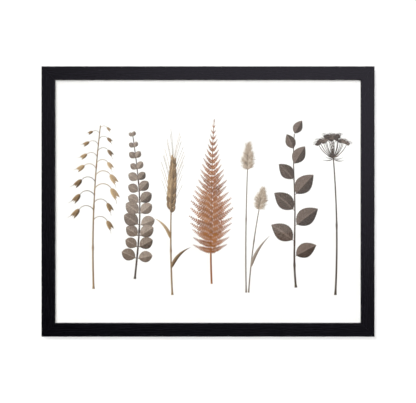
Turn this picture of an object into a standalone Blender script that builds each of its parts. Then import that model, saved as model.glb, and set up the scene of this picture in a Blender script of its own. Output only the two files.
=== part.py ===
# A framed print, 20 x 16 inches, in a square black wooden moulding with a 7/8 inch face.
# Four mitred rails hold glass, print, foam board and a hardboard back in their rebate.
# Eight turn buttons keep the back in, and a sawtooth hanger takes the wall nail.
#
# Metres, +Z up. The picture faces -Y and the wall is the plane Y = 0.
# The origin is the middle notch of the hanger, where the nail bears, on that plane.

import math

import bmesh
import bpy
from mathutils import Vector

# The standard sheet, and how the moulding laps over it
SHEET_WIDTH = 0.508
SHEET_HEIGHT = 0.4064
LIP_OVERLAP = 0.00635
SHEET_PLAY = 0.0015

# The moulding's section
FACE_WIDTH = 0.0222
MOULDING_DEPTH = 0.020
LIP_DEPTH = 0.008
ARRIS = 0.0007
ARRIS_STEPS = 4

# What lies in the rebate, front to back
GLASS_THICKNESS = 0.002
PRINT_THICKNESS = 0.0004
FOAM_THICKNESS = 0.005
BACK_THICKNESS = 0.003

# Clearances between pieces that touch
GAP = 0.0003
MITRE_GAP = 0.0003

# Turn buttons and their screws
BUTTON_HEAD_RADIUS = 0.005
BUTTON_TIP_RADIUS = 0.0032
BUTTON_REACH = 0.0145
BUTTON_THICKNESS = 0.001
BUTTON_EDGE = 0.0002
BUTTON_SPREAD = 0.24
SCREW_RADIUS = 0.0015
SCREW_LENGTH = 0.0095
SCREW_POINT = 0.002
SCREW_HEAD_RADIUS = 0.0029
SCREW_HEAD_HEIGHT = 0.0012
RECESS_LENGTH = 0.0034
RECESS_WIDTH = 0.0007
RECESS_DEPTH = 0.0007
DOME_SHARE = 0.45
DOME_STEPS = 4

# The sawtooth hanger and its pins
HANGER_LENGTH = 0.046
HANGER_HEIGHT = 0.010
HANGER_THICKNESS = 0.001
HANGER_RISE = 0.0015
HANGER_TAB = 0.008
HANGER_RAMP = 0.0015
TOOTH_PITCH = 0.0024
TOOTH_DEPTH = 0.0014
NOTCHES_EACH_SIDE = 4
PIN_RADIUS = 0.0008
PIN_LENGTH = 0.008
PIN_HEAD_RADIUS = 0.0018
PIN_HEAD_HEIGHT = 0.0006

# Wall bumpers, and the V-nails that join the mitres
BUMPER_STAND = 0.0035
BUMPER_RADIUS = 0.005
BUMPER_EDGE = 0.0006
BUMPER_FROM_END = 0.034
V_NAIL_WING = 0.006
V_NAIL_THICKNESS = 0.0008
V_NAIL_DEPTH = 0.008
V_NAIL_INSET = 0.0095

# Facets round a turned piece, and the angles past which an edge is sharp or bevelled
ROUND_STEPS = 24
SHARP_ANGLE = math.radians(35)
BEVEL_ANGLE = math.radians(40)

# Sizes that follow from those above
SIGHT_WIDTH = SHEET_WIDTH - 2 * LIP_OVERLAP
SIGHT_HEIGHT = SHEET_HEIGHT - 2 * LIP_OVERLAP
OUTER_WIDTH = SIGHT_WIDTH + 2 * FACE_WIDTH
OUTER_HEIGHT = SIGHT_HEIGHT + 2 * FACE_WIDTH
LAND = FACE_WIDTH - LIP_OVERLAP - SHEET_PLAY
LAND_MIDDLE = -LAND / 2
HANG_DROP = LAND / 2 + HANGER_HEIGHT / 2 - TOOTH_DEPTH
OVERSHOOT = 0.001

# Each rail: turn about Y in degrees, its length, the distance from the centre to its outer
# edge, and what its two ends are called, seen from the front, at -X and +X of its own frame
RAILS = {
    "top": (0, OUTER_WIDTH, OUTER_HEIGHT / 2, ("left", "right")),
    "right": (90, OUTER_HEIGHT, OUTER_WIDTH / 2, ("upper", "lower")),
    "bottom": (180, OUTER_WIDTH, OUTER_HEIGHT / 2, ("right", "left")),
    "left": (270, OUTER_HEIGHT, OUTER_WIDTH / 2, ("lower", "upper")),
}


def clear_scene():
    for obj in list(bpy.data.objects):
        bpy.data.objects.remove(obj)


def material(name, colour, roughness, metallic=0.0, alpha=1.0):
    made = bpy.data.materials.new(name)
    made.use_nodes = True
    shader = made.node_tree.nodes["Principled BSDF"]
    shader.inputs["Base Color"].default_value = (*colour, 1.0)
    shader.inputs["Roughness"].default_value = roughness
    shader.inputs["Metallic"].default_value = metallic
    shader.inputs["Alpha"].default_value = alpha
    made.diffuse_color = (*colour, alpha)
    return made


def place(name, mesh, finish, parent, location=(0, 0, 0), turn=0.0):
    """An object at a place in its parent's frame, turned about Y by degrees."""
    obj = bpy.data.objects.new(name, mesh)
    bpy.context.scene.collection.objects.link(obj)
    if finish is not None:
        mesh.materials.append(finish)
    obj.parent = parent
    obj.location = location
    obj.rotation_euler = (0, math.radians(turn), 0)
    return obj


def hide_as_cutter(obj):
    obj.hide_render = True
    obj.display_type = "WIRE"
    return obj


def cut(target, cutter):
    modifier = target.modifiers.new("cut " + cutter.name, "BOOLEAN")
    modifier.operation = "DIFFERENCE"
    modifier.object = cutter


def soften(obj, width):
    modifier = obj.modifiers.new("edge", "BEVEL")
    modifier.width = width
    modifier.segments = 2
    modifier.limit_method = "ANGLE"
    modifier.angle_limit = BEVEL_ANGLE


def mesh_from(bm, name):
    bmesh.ops.recalc_face_normals(bm, faces=bm.faces)
    mesh = bpy.data.meshes.new(name)
    bm.to_mesh(mesh)
    bm.free()
    return mesh


def loft(name, first, last):
    """A closed body between two matching rings of points."""
    bm = bmesh.new()
    rings = [[bm.verts.new(point) for point in ring] for ring in (first, last)]
    bm.faces.new(rings[0])
    bm.faces.new(list(reversed(rings[1])))
    count = len(first)
    for i in range(count):
        j = (i + 1) % count
        bm.faces.new((rings[0][i], rings[0][j], rings[1][j], rings[1][i]))
    return mesh_from(bm, name)


def plate(name, outline, front, back):
    """A plate with an outline of (x, z) points, between two depths along Y."""
    return loft(
        name,
        [(x, front, z) for x, z in outline],
        [(x, back, z) for x, z in outline],
    )


def box(name, width, height, front, back):
    x, z = width / 2, height / 2
    return plate(name, [(-x, -z), (x, -z), (x, z), (-x, z)], front, back)


def turned(name, profile):
    """A body turned about Y from (radius, y) points that start and end on the axis."""
    bm = bmesh.new()
    rings = []
    for radius, y in profile:
        if radius == 0:
            rings.append([bm.verts.new((0, y, 0))])
            continue
        ring = []
        for step in range(ROUND_STEPS):
            angle = 2 * math.pi * step / ROUND_STEPS
            ring.append(bm.verts.new((radius * math.cos(angle), y, radius * math.sin(angle))))
        rings.append(ring)
    for near, far in zip(rings, rings[1:]):
        for i in range(ROUND_STEPS):
            j = (i + 1) % ROUND_STEPS
            corners = [near[i % len(near)], near[j % len(near)]]
            corners += [far[j % len(far)], far[i % len(far)]]
            bm.faces.new(list(dict.fromkeys(corners)))
    return mesh_from(bm, name)


def smooth(mesh):
    mesh.shade_smooth()
    mesh.set_sharp_from_angle(angle=SHARP_ANGLE)
    return mesh


def fillet(corner, before, after, radius, steps):
    """Points of an arc that rounds a right-angled corner of an outline."""
    corner, before, after = Vector(corner), Vector(before), Vector(after)
    first = (before - corner).normalized()
    second = (after - corner).normalized()
    centre = corner + radius * (first + second)
    points = []
    for step in range(steps + 1):
        angle = math.pi / 2 * step / steps
        points.append(centre - radius * (second * math.cos(angle) + first * math.sin(angle)))
    return points


def moulding_section():
    """The rail's section as (inward, depth) points, from the outer front arris round."""
    corners = [
        ((0, 0), True),
        ((FACE_WIDTH, 0), True),
        ((FACE_WIDTH, LIP_DEPTH), False),
        ((LAND, LIP_DEPTH), False),
        ((LAND, MOULDING_DEPTH), False),
        ((0, MOULDING_DEPTH), True),
    ]
    points = []
    for i, (corner, rounded) in enumerate(corners):
        if rounded:
            before = corners[i - 1][0]
            after = corners[(i + 1) % len(corners)][0]
            points += fillet(corner, before, after, ARRIS, ARRIS_STEPS)
        else:
            points.append(Vector(corner))
    return points


def rail_mesh(name, length):
    """A mitred rail along X, outer edge at Z = 0 and rear face at Y = 0."""
    ends = []
    for side in (-1, 1):
        ring = []
        for inward, depth in moulding_section():
            reach = length / 2 - inward - MITRE_GAP / math.sqrt(2)
            ring.append((side * reach, depth - MOULDING_DEPTH, -inward))
        ends.append(ring)
    return smooth(loft(name, ends[0], ends[1]))


def pear_outline(head, tip, reach, steps=12):
    """Two round ends joined by their tangents, the head round the origin, the tip towards -Z."""
    lean = math.asin((head - tip) / reach)
    points = []
    for radius, drop, start in ((head, 0.0, -lean), (tip, reach, math.pi + lean)):
        sweep = math.pi + 2 * lean if radius == head else math.pi - 2 * lean
        for step in range(steps + 1):
            angle = start + sweep * step / steps
            points.append((radius * math.cos(angle), radius * math.sin(angle) - drop))
    return points


def v_outline(growth):
    """A V in the plane of the frame at the top right corner, its point on the mitre."""
    half = V_NAIL_THICKNESS / 2 + growth
    wing = V_NAIL_WING + growth
    return [
        (-half, -half),
        (wing, -half),
        (wing, half),
        (half, half),
        (half, wing),
        (-half, wing),
    ]


def hanger_face():
    """The hanger's outline with its row of notches along the lower edge."""
    half_length, half_height = HANGER_LENGTH / 2, HANGER_HEIGHT / 2
    points = [(half_length, half_height), (-half_length, half_height), (-half_length, -half_height)]
    for n in range(-NOTCHES_EACH_SIDE, NOTCHES_EACH_SIDE + 1):
        middle = n * TOOTH_PITCH
        points.append((middle - TOOTH_PITCH / 2, -half_height))
        points.append((middle, -half_height + TOOTH_DEPTH))
    points.append(((NOTCHES_EACH_SIDE + 0.5) * TOOTH_PITCH, -half_height))
    points.append((half_length, -half_height))
    return points


def hanger_bend():
    """The hanger's strip seen from above: flat tabs, and a middle that stands off the rail."""
    half = HANGER_LENGTH / 2 + OVERSHOOT
    flat = HANGER_LENGTH / 2 - HANGER_TAB
    raised = flat - HANGER_RAMP
    low, high = GAP, GAP + HANGER_RISE
    path = [(-half, low), (-flat, low), (-raised, high), (raised, high), (flat, low), (half, low)]
    return path + [(x, y + HANGER_THICKNESS) for x, y in reversed(path)]


def pilot_hole(name, parent, along, radius, depth):
    mesh = turned(name, [(0, -depth), (radius, -depth), (radius, OVERSHOOT), (0, OVERSHOOT)])
    location = (along, 0, LAND_MIDDLE)
    return hide_as_cutter(place(name, mesh, None, parent, location))


def screw_mesh(name, seat, shank, head, length, head_height):
    """A screw or pin along Y whose head sits at seat and whose point goes into the rail."""
    dome = head_height * DOME_SHARE
    top = seat + head_height
    profile = [(0, -length), (shank, SCREW_POINT - length), (shank, seat), (head, seat)]
    for step in range(DOME_STEPS):
        angle = math.pi / 2 * step / DOME_STEPS
        profile.append((head * math.cos(angle), top - dome * (1 - math.sin(angle))))
    profile.append((0, top))
    return smooth(turned(name, profile))


def cross_recess(name, parent, along, top):
    long, wide = RECESS_LENGTH / 2, RECESS_WIDTH / 2
    outline = []
    for x, z in ((long, wide), (wide, wide), (wide, long)):
        outline.append((x, z))
    outline += [(-x, z) for x, z in reversed(outline)]
    outline += [(x, -z) for x, z in reversed(outline)]
    mesh = plate(name, outline, top - RECESS_DEPTH, top + OVERSHOOT)
    location = (along, 0, LAND_MIDDLE)
    return hide_as_cutter(place(name, mesh, None, parent, location))


def add_rails(centre, finish):
    rails = {}
    for name, (turn, length, offset, _) in RAILS.items():
        mesh = rail_mesh("rail_" + name, length)
        angle = math.radians(turn)
        location = (offset * math.sin(angle), 0, offset * math.cos(angle))
        rails[name] = place("rail_" + name, mesh, finish, centre, location, turn)
    return rails


def add_corner_nails(centre, rails, finish):
    """A V-nail across each mitre, sunk in the rear of both rails."""
    order = list(RAILS)
    for i, name in enumerate(order):
        follower = order[(i + 1) % len(order)]
        turn = RAILS[name][0]
        side_x = 1 if "right" in (name, follower) else -1
        side_z = 1 if "top" in (name, follower) else -1
        location = (
            side_x * (OUTER_WIDTH / 2 - V_NAIL_INSET),
            0,
            side_z * (OUTER_HEIGHT / 2 - V_NAIL_INSET),
        )
        corner = f"{'top' if side_z > 0 else 'bottom'}_{'right' if side_x > 0 else 'left'}"
        mesh = plate("corner_nail_" + corner, v_outline(0), -V_NAIL_DEPTH, -GAP)
        place("corner_nail_" + corner, mesh, finish, centre, location, turn)
        slot = plate("slot_" + corner, v_outline(GAP), -V_NAIL_DEPTH - GAP, OVERSHOOT)
        cutter = hide_as_cutter(place("slot_" + corner, slot, None, centre, location, turn))
        cut(rails[name], cutter)
        cut(rails[follower], cutter)


def add_sheets(centre, glass, paper, foam, hardboard):
    """Glass, print, foam board and back, standing on the floor of the rebate."""
    drop = -(SHEET_PLAY - GAP)
    stack = (
        ("glass", GLASS_THICKNESS, glass),
        ("print", PRINT_THICKNESS, paper),
        ("foam_board", FOAM_THICKNESS, foam),
        ("back_board", BACK_THICKNESS, hardboard),
    )
    front = LIP_DEPTH - MOULDING_DEPTH
    for name, thickness, finish in stack:
        front += GAP
        mesh = box(name, SHEET_WIDTH, SHEET_HEIGHT, front, front + thickness)
        place(name, mesh, finish, centre, (0, 0, drop))
        front += thickness


def add_turn_buttons(rails, steel, screw_steel):
    outline = pear_outline(BUTTON_HEAD_RADIUS, BUTTON_TIP_RADIUS, BUTTON_REACH)
    seat = GAP + BUTTON_THICKNESS + GAP
    for name, (_, length, _, ends) in RAILS.items():
        rail = rails[name]
        for side, end in zip((-1, 1), ends):
            along = side * length * BUTTON_SPREAD
            label = f"{name}_{end}"
            mesh = plate("turn_button_" + label, outline, GAP, GAP + BUTTON_THICKNESS)
            location = (along, 0, LAND_MIDDLE)
            button = place("turn_button_" + label, mesh, steel, rail, location)
            reach = GAP + BUTTON_THICKNESS + OVERSHOOT
            bore = turned(
                "bore_" + label,
                [
                    (0, -OVERSHOOT),
                    (SCREW_RADIUS + GAP, -OVERSHOOT),
                    (SCREW_RADIUS + GAP, reach),
                    (0, reach),
                ],
            )
            cut(button, hide_as_cutter(place("bore_" + label, bore, None, rail, location)))
            soften(button, BUTTON_EDGE)

            mesh = screw_mesh(
                "button_screw_" + label,
                seat,
                SCREW_RADIUS,
                SCREW_HEAD_RADIUS,
                SCREW_LENGTH,
                SCREW_HEAD_HEIGHT,
            )
            screw = place("button_screw_" + label, mesh, screw_steel, rail, location)
            top = seat + SCREW_HEAD_HEIGHT
            cut(screw, cross_recess("recess_" + label, rail, along, top))
            depth = SCREW_LENGTH + GAP
            cut(rail, pilot_hole("pilot_" + label, rail, along, SCREW_RADIUS + GAP, depth))


def add_hanger(rail, steel, pin_steel):
    face = plate("hanger_strip", hanger_face(), -OVERSHOOT, BUMPER_STAND)
    hanger = place("sawtooth_hanger", face, steel, rail, (0, 0, LAND_MIDDLE))
    height = HANGER_HEIGHT / 2 + OVERSHOOT
    bend = loft(
        "hanger_bend",
        [(x, y, -height) for x, y in hanger_bend()],
        [(x, y, height) for x, y in hanger_bend()],
    )
    shape = hide_as_cutter(place("hanger_bend", bend, None, rail, (0, 0, LAND_MIDDLE)))
    keep = hanger.modifiers.new("bent strip", "BOOLEAN")
    keep.operation = "INTERSECT"
    keep.object = shape

    seat = GAP + HANGER_THICKNESS + GAP
    for side, end in ((-1, "left"), (1, "right")):
        along = side * (HANGER_LENGTH - HANGER_TAB) / 2
        radius = PIN_RADIUS + GAP
        hole = turned(
            "pin_hole_" + end,
            [(0, -OVERSHOOT), (radius, -OVERSHOOT), (radius, BUMPER_STAND), (0, BUMPER_STAND)],
        )
        location = (along, 0, LAND_MIDDLE)
        cut(hanger, hide_as_cutter(place("pin_hole_" + end, hole, None, rail, location)))
        mesh = screw_mesh(
            "hanger_pin_" + end, seat, PIN_RADIUS, PIN_HEAD_RADIUS, PIN_LENGTH, PIN_HEAD_HEIGHT
        )
        place("hanger_pin_" + end, mesh, pin_steel, rail, location)
        cut(rail, pilot_hole("pin_pilot_" + end, rail, along, radius, PIN_LENGTH + GAP))


def add_bumpers(rails, rubber):
    profile = [
        (0, GAP),
        (BUMPER_RADIUS, GAP),
        (BUMPER_RADIUS, BUMPER_STAND - BUMPER_EDGE),
        (BUMPER_RADIUS - BUMPER_EDGE, BUMPER_STAND),
        (0, BUMPER_STAND),
    ]
    for name in ("top", "bottom"):
        _, length, _, ends = RAILS[name]
        for side, end in zip((-1, 1), ends):
            mesh = smooth(turned(f"bumper_{name}_{end}", profile))
            along = side * (length / 2 - BUMPER_FROM_END)
            place(f"bumper_{name}_{end}", mesh, rubber, rails[name], (along, 0, LAND_MIDDLE))


def main():
    clear_scene()
    black_wood = material("black stained wood", (0.012, 0.011, 0.014), 0.45)
    glass = material("picture glass", (0.95, 0.97, 0.96), 0.03, alpha=0.15)
    paper = material("matte art paper", (0.93, 0.93, 0.92), 0.9)
    foam = material("foam board", (0.88, 0.88, 0.86), 0.8)
    hardboard = material("hardboard", (0.27, 0.16, 0.09), 0.7)
    zinc = material("zinc plated steel", (0.62, 0.62, 0.60), 0.35, metallic=1.0)
    nail_steel = material("bright steel", (0.50, 0.50, 0.51), 0.4, metallic=1.0)
    rubber = material("black rubber", (0.02, 0.02, 0.02), 0.8)

    centre = bpy.data.objects.new("frame_centre", None)
    bpy.context.scene.collection.objects.link(centre)
    centre.location = (0, -BUMPER_STAND, HANG_DROP - OUTER_HEIGHT / 2)

    rails = add_rails(centre, black_wood)
    add_corner_nails(centre, rails, nail_steel)
    add_sheets(centre, glass, paper, foam, hardboard)
    add_turn_buttons(rails, zinc, nail_steel)
    add_hanger(rails["top"], zinc, nail_steel)
    add_bumpers(rails, rubber)
    bpy.context.view_layer.update()


main()
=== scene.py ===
import math

import bmesh
import bpy
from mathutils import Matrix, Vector


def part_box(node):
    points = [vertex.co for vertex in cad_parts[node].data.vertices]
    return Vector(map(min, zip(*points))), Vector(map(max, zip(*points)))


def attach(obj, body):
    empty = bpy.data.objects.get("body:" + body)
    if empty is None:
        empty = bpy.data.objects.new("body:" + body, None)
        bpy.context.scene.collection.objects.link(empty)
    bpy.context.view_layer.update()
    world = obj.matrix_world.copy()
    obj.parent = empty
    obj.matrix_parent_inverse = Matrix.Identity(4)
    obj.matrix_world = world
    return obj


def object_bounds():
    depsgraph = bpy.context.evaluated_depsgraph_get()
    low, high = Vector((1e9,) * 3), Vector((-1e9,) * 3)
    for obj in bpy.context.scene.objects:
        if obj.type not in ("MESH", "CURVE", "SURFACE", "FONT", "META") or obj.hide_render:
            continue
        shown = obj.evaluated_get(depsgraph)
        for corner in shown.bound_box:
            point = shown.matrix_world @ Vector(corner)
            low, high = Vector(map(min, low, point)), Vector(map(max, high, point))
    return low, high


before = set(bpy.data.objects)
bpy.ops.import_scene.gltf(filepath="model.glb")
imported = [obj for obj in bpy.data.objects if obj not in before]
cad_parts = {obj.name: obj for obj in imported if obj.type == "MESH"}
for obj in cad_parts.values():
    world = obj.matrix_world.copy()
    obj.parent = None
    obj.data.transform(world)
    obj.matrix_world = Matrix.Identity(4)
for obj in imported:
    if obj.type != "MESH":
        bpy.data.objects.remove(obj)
cadLow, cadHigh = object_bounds()

# One millimetre, so that sizes below read as on a workbench
mm = 0.001

# Where things are, read from the frame: the opening between the rails, and the sheet's face
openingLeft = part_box("rail_left")[1].x
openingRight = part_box("rail_right")[0].x
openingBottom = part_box("rail_bottom")[1].z
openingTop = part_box("rail_top")[0].z
middle = Vector(((openingLeft + openingRight) / 2, 0, (openingBottom + openingTop) / 2))
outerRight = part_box("rail_right")[1].x
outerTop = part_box("rail_top")[1].z
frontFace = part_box("rail_top")[0].y
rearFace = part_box("rail_top")[1].y
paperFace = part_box("print")[0].y


def linear(code):
    # An sRGB hex colour as the linear numbers that shaders take
    parts = [int(code[i:i + 2], 16) / 255 for i in (1, 3, 5)]
    return [c / 12.92 if c <= 0.04045 else ((c + 0.055) / 1.055) ** 2.4 for c in parts] + [1.0]


def addNode(tree, kind, inputs=None, **settings):
    # A node with its settings, and a link or a value for each input named or numbered. A node
    # given as a value stands for its first output
    node = tree.nodes.new(kind)
    for name, value in settings.items():
        setattr(node, name, value)
    for socket, value in (inputs or {}).items():
        if isinstance(value, bpy.types.Node):
            value = value.outputs[0]
        if isinstance(value, bpy.types.NodeSocket):
            tree.links.new(value, node.inputs[socket])
        else:
            node.inputs[socket].default_value = value
    return node


def setStops(ramp, stops):
    # Colours along a ramp, as {place: hex}
    places = sorted(stops)
    while len(ramp.color_ramp.elements) < len(places):
        ramp.color_ramp.elements.new(0.5)
    for element, place in zip(ramp.color_ramp.elements, places):
        element.position = place
        element.color = linear(stops[place])


def newMaterial(name):
    # An empty material and its node tree
    made = bpy.data.materials.new(name)
    made.use_nodes = True
    made.node_tree.nodes.clear()
    return made, made.node_tree


def patternedMaterial(name):
    # An empty material with the place that its patterns lie on, in the piece's own coordinates
    made, tree = newMaterial(name)
    return made, tree, addNode(tree, "ShaderNodeTexCoord").outputs["Object"]


def finished(made, inputs, kind="ShaderNodeBsdfPrincipled"):
    # The material, once its last shader leads to the output
    shader = addNode(made.node_tree, kind, inputs)
    addNode(made.node_tree, "ShaderNodeOutputMaterial", {"Surface": shader})
    return made


def addObject(name, data):
    # An object in the scene, at the origin
    made = bpy.data.objects.new(name, data)
    bpy.context.scene.collection.objects.link(made)
    return made


def addMesh(name, bm, finish):
    # An object made from a bmesh, in one finish
    mesh = bpy.data.meshes.new(name)
    bm.to_mesh(mesh)
    bm.free()
    mesh.materials.append(finish)
    return addObject(name, mesh)


# Wood of the moulding

mouldingLook = {
    "black": "#010103", "blackGrain": "#030306", "sheenTint": "#f2eaff",
    "rawDark": "#a88257", "rawLight": "#d2b083", "rawPore": "#8a6540",
    "grainWidth": 0.9, "grainLength": 30, "poreWidth": 0.25, "poreLength": 6,
    "poreDepth": 0.02, "poreStrength": 0.35, "smoothest": 0.23, "roughest": 0.30, "rawRoughness": 0.75,
    "overspray": 3.2,  # how far the black reaches in over the rear, mm
    "driftSize": 4, "driftReach": 2.4,  # size of its ragged patches, and how far they move its edge
    "rebateFrom": 13.2, "rebateBlur": 0.5,  # where the rebate starts, in from the outer edge
    "rebateDepth": 8,  # how far down its wall, from the rear, the wood is bare
    "rearFrom": 0.25, "rearTo": 0.08,  # over which the black fades to raw wood, before the rear
}


def blackMoulding(name, along):
    # Obeche, machined square, sprayed satin black on the faces that show and left raw behind:
    # near black with a wide soft sheen and faint pores, pale fibres on the rear
    look = mouldingLook
    made, tree, place = patternedMaterial(name)
    xyz = addNode(tree, "ShaderNodeSeparateXYZ", {0: place})
    streaks = []
    for kind, settings in (("grain", {"Detail": 5.0, "Roughness": 0.62, "Distortion": 0.25}),
                           ("pore", {"Detail": 2.0})):
        across, length = 1 / (look[kind + "Width"] * mm), 1 / (look[kind + "Length"] * mm)
        scale = (length, across, across) if along == "x" else (across, across, length)
        drawn = addNode(tree, "ShaderNodeMapping", {"Vector": place, "Scale": scale})
        streaks.append(addNode(tree, "ShaderNodeTexNoise", {"Vector": drawn, "Scale": 1.0, **settings}))
    fibres, pores = streaks
    pits = addNode(tree, "ShaderNodeMapRange", {"Value": pores, "From Min": 0.30, "From Max": 0.42})
    black = addNode(tree, "ShaderNodeValToRGB", {"Fac": fibres})
    setStops(black, {0.35: look["black"], 0.7: look["blackGrain"]})
    raw = addNode(tree, "ShaderNodeValToRGB", {"Fac": fibres})
    setStops(raw, {0.3: look["rawDark"], 0.62: look["rawLight"]})
    pored = addNode(tree, "ShaderNodeMix", {0: pits, 6: linear(look["rawPore"]), 7: raw}, data_type="RGBA")
    # Distance in from the outer edge, for the spray that drifts on to the rear
    margins = []
    for axis, mid, edge in (("X", middle.x, outerRight), ("Z", middle.z, outerTop)):
        off = addNode(tree, "ShaderNodeMath", {0: xyz.outputs[axis], 1: mid}, operation="SUBTRACT")
        away = addNode(tree, "ShaderNodeMath", {0: off}, operation="ABSOLUTE")
        margins.append(addNode(tree, "ShaderNodeMath", {0: edge - mid, 1: away}, operation="SUBTRACT"))
    inward = addNode(tree, "ShaderNodeMath", {0: margins[0], 1: margins[1]}, operation="MINIMUM")
    drift = addNode(tree, "ShaderNodeTexNoise", {
        "Vector": place, "Scale": 1 / (look["driftSize"] * mm), "Detail": 6.0})
    ragged = addNode(tree, "ShaderNodeMath", {
        0: drift, 1: -look["driftReach"] * mm, 2: inward}, operation="MULTIPLY_ADD")
    bare = addNode(tree, "ShaderNodeMapRange", {
        "Value": ragged, "From Min": -look["driftReach"] / 4 * mm,
        "From Max": (look["overspray"] - look["driftReach"] / 2) * mm}, interpolation_type="SMOOTHSTEP")
    # The rebate's wall is bare as well, so there the raw wood starts nearer the front
    rebate = addNode(tree, "ShaderNodeMapRange", {
        "Value": inward, "From Min": look["rebateFrom"] * mm,
        "From Max": (look["rebateFrom"] + look["rebateBlur"]) * mm, "To Max": look["rebateDepth"] * mm})
    depth = addNode(tree, "ShaderNodeMath", {0: xyz.outputs["Y"], 1: rebate}, operation="ADD")
    behind = addNode(tree, "ShaderNodeMapRange", {
        "Value": depth, "From Min": rearFace - look["rearFrom"] * mm,
        "From Max": rearFace - look["rearTo"] * mm})
    rawShare = addNode(tree, "ShaderNodeMath", {0: bare, 1: behind}, operation="MULTIPLY")
    colour = addNode(tree, "ShaderNodeMix", {0: rawShare, 6: black, 7: pored.outputs[2]}, data_type="RGBA")
    sheen = addNode(tree, "ShaderNodeMapRange", {
        "Value": fibres, "From Min": 0.3, "From Max": 0.7,
        "To Min": look["smoothest"], "To Max": look["roughest"]})
    rough = addNode(tree, "ShaderNodeMix", {
        0: rawShare, 2: sheen, 3: look["rawRoughness"]}, data_type="FLOAT")
    relief = addNode(tree, "ShaderNodeBump", {
        "Strength": look["poreStrength"], "Distance": look["poreDepth"] * mm, "Height": pits})
    return finished(made, {
        "Base Color": colour.outputs[2], "Roughness": rough, "Normal": relief,
        "Specular Tint": linear(look["sheenTint"])})


# Glass and the sheets behind it

glassLook = {"ior": 1.5, "polish": 0.015}


def pictureGlass():
    # Float glass, 2 mm, polished: clear, with a faint reflection that grows at a slant
    made, tree = newMaterial("float_glass")
    fresnel = addNode(tree, "ShaderNodeFresnel", {"IOR": glassLook["ior"]})
    # The inner faces add nothing, or they would mirror everything at a slant
    entering = addNode(tree, "ShaderNodeMath", {
        0: 1.0, 1: addNode(tree, "ShaderNodeNewGeometry").outputs["Backfacing"]}, operation="SUBTRACT")
    share = addNode(tree, "ShaderNodeMath", {0: fresnel, 1: entering}, operation="MULTIPLY")
    clear = addNode(tree, "ShaderNodeBsdfTransparent", {"Color": (1, 1, 1, 1)})
    gloss = addNode(tree, "ShaderNodeBsdfGlossy", {"Color": (1, 1, 1, 1), "Roughness": glassLook["polish"]})
    return finished(made, {0: share, 1: clear, 2: gloss}, "ShaderNodeMixShader")


# Fibre size and depth of the relief in mm
sheetLooks = {
    "cotton_art_paper": {
        "light": "#f7f7f5", "dark": "#f4f3f0", "fibre": 1.2, "depth": 0.02, "strength": 0.3,
        "smoothest": 0.80, "roughest": 0.92},
    "paper_faced_foam_board": {
        "light": "#eeeeea", "dark": "#e4e3dd", "fibre": 2.5, "depth": 0.03, "strength": 0.3,
        "smoothest": 0.74, "roughest": 0.86},
}


def pulpSheet(name):
    # A pulp sheet: paper or board, a matte surface with a soft mottle of fibres
    look = sheetLooks[name]
    made, tree, place = patternedMaterial(name)
    pulp = addNode(tree, "ShaderNodeTexNoise", {
        "Vector": place, "Scale": 1 / (look["fibre"] * mm), "Detail": 7.0, "Roughness": 0.6})
    colour = addNode(tree, "ShaderNodeValToRGB", {"Fac": pulp})
    setStops(colour, {0.35: look["dark"], 0.65: look["light"]})
    relief = addNode(tree, "ShaderNodeBump", {
        "Strength": look["strength"], "Distance": look["depth"] * mm, "Height": pulp})
    rough = addNode(tree, "ShaderNodeMapRange", {
        "Value": pulp, "To Min": look["smoothest"], "To Max": look["roughest"]})
    return finished(made, {"Base Color": colour, "Roughness": rough, "Normal": relief})


hardboardLook = {
    "dark": "#4b3726", "middle": "#735841", "light": "#93785a",
    "fibre": 3.2, "fibreHeight": 1.5,  # the height as a share of the screen's
    "fleck": 0.8, "fleckStretch": 0.22, "fleckShare": 0.45, "smoothest": 0.58, "roughest": 0.82,
    "screen": 2.0,  # pitch of the wire screen, a little coarser than life so that it shows
    "screenDepth": 0.16, "screenStrength": 0.6,
}


def hardboard():
    # Wood fibre pressed on a wire screen: mid brown, flecked, with a fine square mesh behind
    look = hardboardLook
    made, tree, place = patternedMaterial("hardboard_screen_back")
    fibre = addNode(tree, "ShaderNodeTexNoise", {
        "Vector": place, "Scale": 1 / (look["fibre"] * mm), "Detail": 9.0, "Roughness": 0.7,
        "Distortion": 0.5})
    drawn = addNode(tree, "ShaderNodeMapping", {
        "Vector": place, "Rotation": (0, 0.6, 0), "Scale": (1, 1, look["fleckStretch"])})
    fleck = addNode(tree, "ShaderNodeTexNoise", {
        "Vector": drawn, "Scale": 1 / (look["fleck"] * mm), "Detail": 3.0})
    tone = addNode(tree, "ShaderNodeMath", {
        0: fleck, 1: look["fleckShare"], 2: fibre}, operation="MULTIPLY_ADD")
    colour = addNode(tree, "ShaderNodeValToRGB", {"Fac": tone})
    setStops(colour, {0.48: look["dark"], 0.72: look["middle"], 0.98: look["light"]})
    # The screen's mesh, as two waves that cross
    turn = 2 * math.pi / (look["screen"] * mm)
    xyz = addNode(tree, "ShaderNodeSeparateXYZ", {0: place})
    waves = []
    for axis in ("X", "Z"):
        phase = addNode(tree, "ShaderNodeMath", {0: xyz.outputs[axis], 1: turn}, operation="MULTIPLY")
        waves.append(addNode(tree, "ShaderNodeMath", {0: phase}, operation="SINE"))
    mesh = addNode(tree, "ShaderNodeMath", {0: waves[0], 1: waves[1]}, operation="MULTIPLY")
    height = addNode(tree, "ShaderNodeMath", {
        0: fibre, 1: look["fibreHeight"], 2: mesh}, operation="MULTIPLY_ADD")
    relief = addNode(tree, "ShaderNodeBump", {
        "Strength": look["screenStrength"], "Distance": look["screenDepth"] * mm, "Height": height})
    rough = addNode(tree, "ShaderNodeMapRange", {
        "Value": fibre, "To Min": look["smoothest"], "To Max": look["roughest"]})
    return finished(made, {"Base Color": colour, "Roughness": rough, "Normal": relief})


# Hardware

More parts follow.
